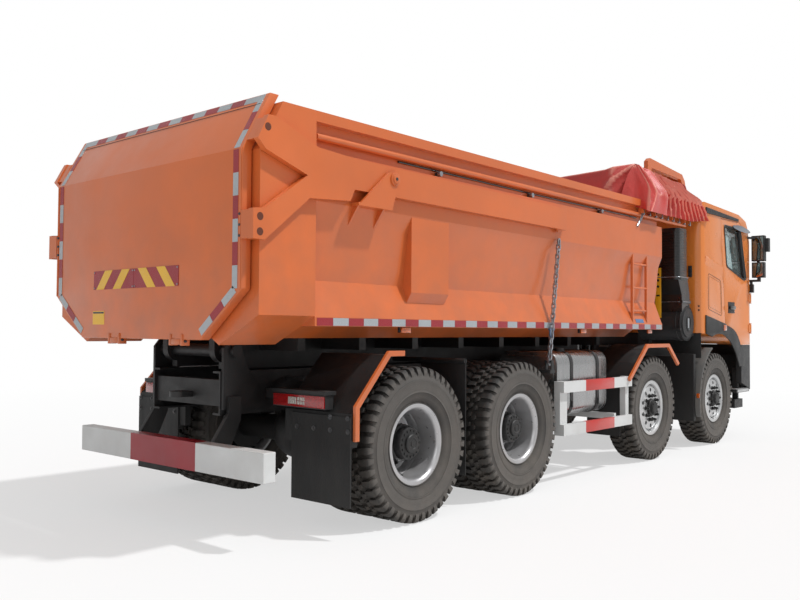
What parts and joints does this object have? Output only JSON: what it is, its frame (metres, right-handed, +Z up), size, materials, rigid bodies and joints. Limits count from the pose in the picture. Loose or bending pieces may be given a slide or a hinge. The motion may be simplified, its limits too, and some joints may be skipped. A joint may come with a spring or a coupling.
{
  "type": "four-axle dump truck",
  "caption": "Heavy tipper with an orange steel body, top-hung tailgate pulled by chains, front telescopic hoist, bunched red tarp, and forward-control cab.",
  "frame": {"origin": "on the ground, under the middle of the truck's length and width", "axes": "+X forward, +Y to the truck's left, +Z up"},
  "size_m": [8.73, 2.92, 3.31],
  "materials": {
    "orange_paint": "semi-gloss",
    "cab_paint": "gloss",
    "chassis_black": "satin",
    "guard_white": "semi-gloss",
    "lamp_red": "gloss",
    "black_plastic": "matte",
    "tank_metal": "satin",
    "tyre": "matte",
    "wheel_alloy": "polished",
    "wheel_steel": "satin",
    "cast_grey": "rough",
    "glass": "clear",
    "lamp_clear": "gloss",
    "interior": "matte",
    "tarp_red": "coated cloth",
    "chain_steel": "galvanised",
    "chrome": "polished"
  },
  "bodies": {
    "chassis": {"frame_rails": "chassis_black", "front_bumper": "black_plastic", "rear_underrun": "guard_white", "tail_lamps": "lamp_red", "mudguards": "black_plastic", "mudguard_lips": "orange_paint", "side_guards": "guard_white", "fuel_tank": "tank_metal", "battery_box": "black_plastic", "air_filter": "black_plastic", "intake_duct": "black_plastic", "engine_block": "cast_grey", "exhaust_silencer": "cast_grey", "front_axle_beams": "chassis_black", "drive_axles": "chassis_black", "leaf_springs": "chassis_black", "prop_shafts": "chassis_black", "cab_shell": "cab_paint", "cab_glass": "glass", "cab_trim": "black_plastic", "headlamps": "lamp_clear", "cab_interior": "interior", "mirrors": "black_plastic"},
    "bed": {"bed_tub": "orange_paint", "bed_frame": "chassis_black", "bed_fittings": "orange_paint", "cab_guard": "orange_paint", "tarp": "tarp_red"},
    "tailgate": {"tailgate_panel": "orange_paint", "tailgate_levers": "orange_paint"},
    "lift_chains": {"lift_chains": "chain_steel"},
    "hoist_barrel": {"hoist_barrel": "chassis_black"},
    "hoist_stage_1": {"hoist_stage_1": "chrome"},
    "hoist_stage_2": {"hoist_stage_2": "chrome"},
    "hoist_stage_3": {"hoist_stage_3": "chrome"},
    "hoist_stage_4": {"hoist_stage_4": "chrome"},
    "knuckle_1_right": {"knuckle_1_right": "chassis_black"},
    "wheel_1_right": {"tyre_1_right": "tyre", "rim_1_right": "wheel_alloy"},
    "knuckle_1_left": {"knuckle_1_left": "chassis_black"},
    "wheel_1_left": {"tyre_1_left": "tyre", "rim_1_left": "wheel_alloy"},
    "knuckle_2_right": {"knuckle_2_right": "chassis_black"},
    "wheel_2_right": {"tyre_2_right": "tyre", "rim_2_right": "wheel_alloy"},
    "knuckle_2_left": {"knuckle_2_left": "chassis_black"},
    "wheel_2_left": {"tyre_2_left": "tyre", "rim_2_left": "wheel_alloy"},
    "wheels_3_right": {"tyres_3_right": "tyre", "rims_3_right": "wheel_steel"},
    "wheels_3_left": {"tyres_3_left": "tyre", "rims_3_left": "wheel_steel"},
    "wheels_4_right": {"tyres_4_right": "tyre", "rims_4_right": "wheel_steel"},
    "wheels_4_left": {"tyres_4_left": "tyre", "rims_4_left": "wheel_steel"},
    "door_right": {"door_right": "cab_paint", "door_glass_right": "glass"},
    "door_left": {"door_left": "cab_paint", "door_glass_left": "glass"}
  },
  "joints": [
    {"name": "bed_tip", "type": "hinge", "parent": "chassis", "child": "bed", "pos_m": [-3.855, 0, 1.22], "axis": [0, -1, 0], "range_deg": [0, 42]},
    {"name": "tailgate_swing", "type": "hinge", "parent": "bed", "child": "tailgate", "pos_m": [-3.141, 0, 2.41], "axis": [0, 1, 0], "range_deg": [0, 56.3]},
    {"name": "chain_swing", "type": "hinge", "parent": "chassis", "child": "lift_chains", "pos_m": [-1.005, 0, 1.1], "axis": [0, -1, 0], "range_deg": [0, 58.95]},
    {"name": "hoist_tilt", "type": "hinge", "parent": "chassis", "child": "hoist_barrel", "pos_m": [1.905, 0, 1.15], "axis": [0, -1, 0], "range_deg": [0, 22.65]},
    {"name": "hoist_slide_1", "type": "slide", "parent": "hoist_barrel", "child": "hoist_stage_1", "axis": [-0.0521, 0, 0.9986], "range_m": [0, 1.0119]},
    {"name": "hoist_slide_2", "type": "slide", "parent": "hoist_stage_1", "child": "hoist_stage_2", "axis": [-0.0521, 0, 0.9986], "range_m": [0, 1.0119]},
    {"name": "hoist_slide_3", "type": "slide", "parent": "hoist_stage_2", "child": "hoist_stage_3", "axis": [-0.0521, 0, 0.9986], "range_m": [0, 1.0119]},
    {"name": "hoist_slide_4", "type": "slide", "parent": "hoist_stage_3", "child": "hoist_stage_4", "axis": [-0.0521, 0, 0.9986], "range_m": [0, 1.0119]},
    {"name": "steer_1_right", "type": "hinge", "parent": "chassis", "child": "knuckle_1_right", "pos_m": [2.965, -0.93, 0.555], "axis": [0, 0, 1], "range_deg": [-35, 35]},
    {"name": "roll_1_right", "type": "hinge", "parent": "knuckle_1_right", "child": "wheel_1_right", "pos_m": [2.965, -1.06, 0.555], "axis": [0, 1, 0], "continuous": true},
    {"name": "steer_1_left", "type": "hinge", "parent": "chassis", "child": "knuckle_1_left", "pos_m": [2.965, 0.93, 0.555], "axis": [0, 0, 1], "range_deg": [-35, 35]},
    {"name": "roll_1_left", "type": "hinge", "parent": "knuckle_1_left", "child": "wheel_1_left", "pos_m": [2.965, 1.06, 0.555], "axis": [0, 1, 0], "continuous": true},
    {"name": "steer_2_right", "type": "hinge", "parent": "chassis", "child": "knuckle_2_right", "pos_m": [1.165, -0.93, 0.555], "axis": [0, 0, 1], "range_deg": [-24.5, 24.5]},
    {"name": "roll_2_right", "type": "hinge", "parent": "knuckle_2_right", "child": "wheel_2_right", "pos_m": [1.165, -1.06, 0.555], "axis": [0, 1, 0], "continuous": true},
    {"name": "steer_2_left", "type": "hinge", "parent": "chassis", "child": "knuckle_2_left", "pos_m": [1.165, 0.93, 0.555], "axis": [0, 0, 1], "range_deg": [-24.5, 24.5]},
    {"name": "roll_2_left", "type": "hinge", "parent": "knuckle_2_left", "child": "wheel_2_left", "pos_m": [1.165, 1.06, 0.555], "axis": [0, 1, 0], "continuous": true},
    {"name": "roll_3_right", "type": "hinge", "parent": "chassis", "child": "wheels_3_right", "pos_m": [-1.485, -0.93, 0.555], "axis": [0, 1, 0], "continuous": true},
    {"name": "roll_3_left", "type": "hinge", "parent": "chassis", "child": "wheels_3_left", "pos_m": [-1.485, 0.93, 0.555], "axis": [0, 1, 0], "continuous": true},
    {"name": "roll_4_right", "type": "hinge", "parent": "chassis", "child": "wheels_4_right", "pos_m": [-2.835, -0.93, 0.555], "axis": [0, 1, 0], "continuous": true},
    {"name": "roll_4_left", "type": "hinge", "parent": "chassis", "child": "wheels_4_left", "pos_m": [-2.835, 0.93, 0.555], "axis": [0, 1, 0], "continuous": true},
    {"name": "door_right_swing", "type": "hinge", "parent": "chassis", "child": "door_right", "pos_m": [4.101, -1.241, 1.62], "axis": [0, 0, 1], "range_deg": [0, 70]},
    {"name": "door_left_swing", "type": "hinge", "parent": "chassis", "child": "door_left", "pos_m": [4.101, 1.241, 1.62], "axis": [0, 0, -1], "range_deg": [0, 70]}
  ],
  "couplings": [
    {"joint": "tailgate_swing", "follows": "bed_tip", "ratio": 1.34},
    {"joint": "chain_swing", "follows": "bed_tip", "ratio": 1.403},
    {"joint": "hoist_tilt", "follows": "bed_tip", "ratio": 0.5387},
    {"joint": "hoist_slide_1", "follows": "bed_tip", "m_per_rad": 1.3798},
    {"joint": "hoist_slide_2", "follows": "bed_tip", "m_per_rad": 1.3798},
    {"joint": "hoist_slide_3", "follows": "bed_tip", "m_per_rad": 1.3798},
    {"joint": "hoist_slide_4", "follows": "bed_tip", "m_per_rad": 1.3798},
    {"joint": "steer_1_left", "follows": "steer_1_right", "ratio": 1},
    {"joint": "steer_2_right", "follows": "steer_1_right", "ratio": 0.7},
    {"joint": "steer_2_left", "follows": "steer_1_right", "ratio": 0.7}
  ]
}
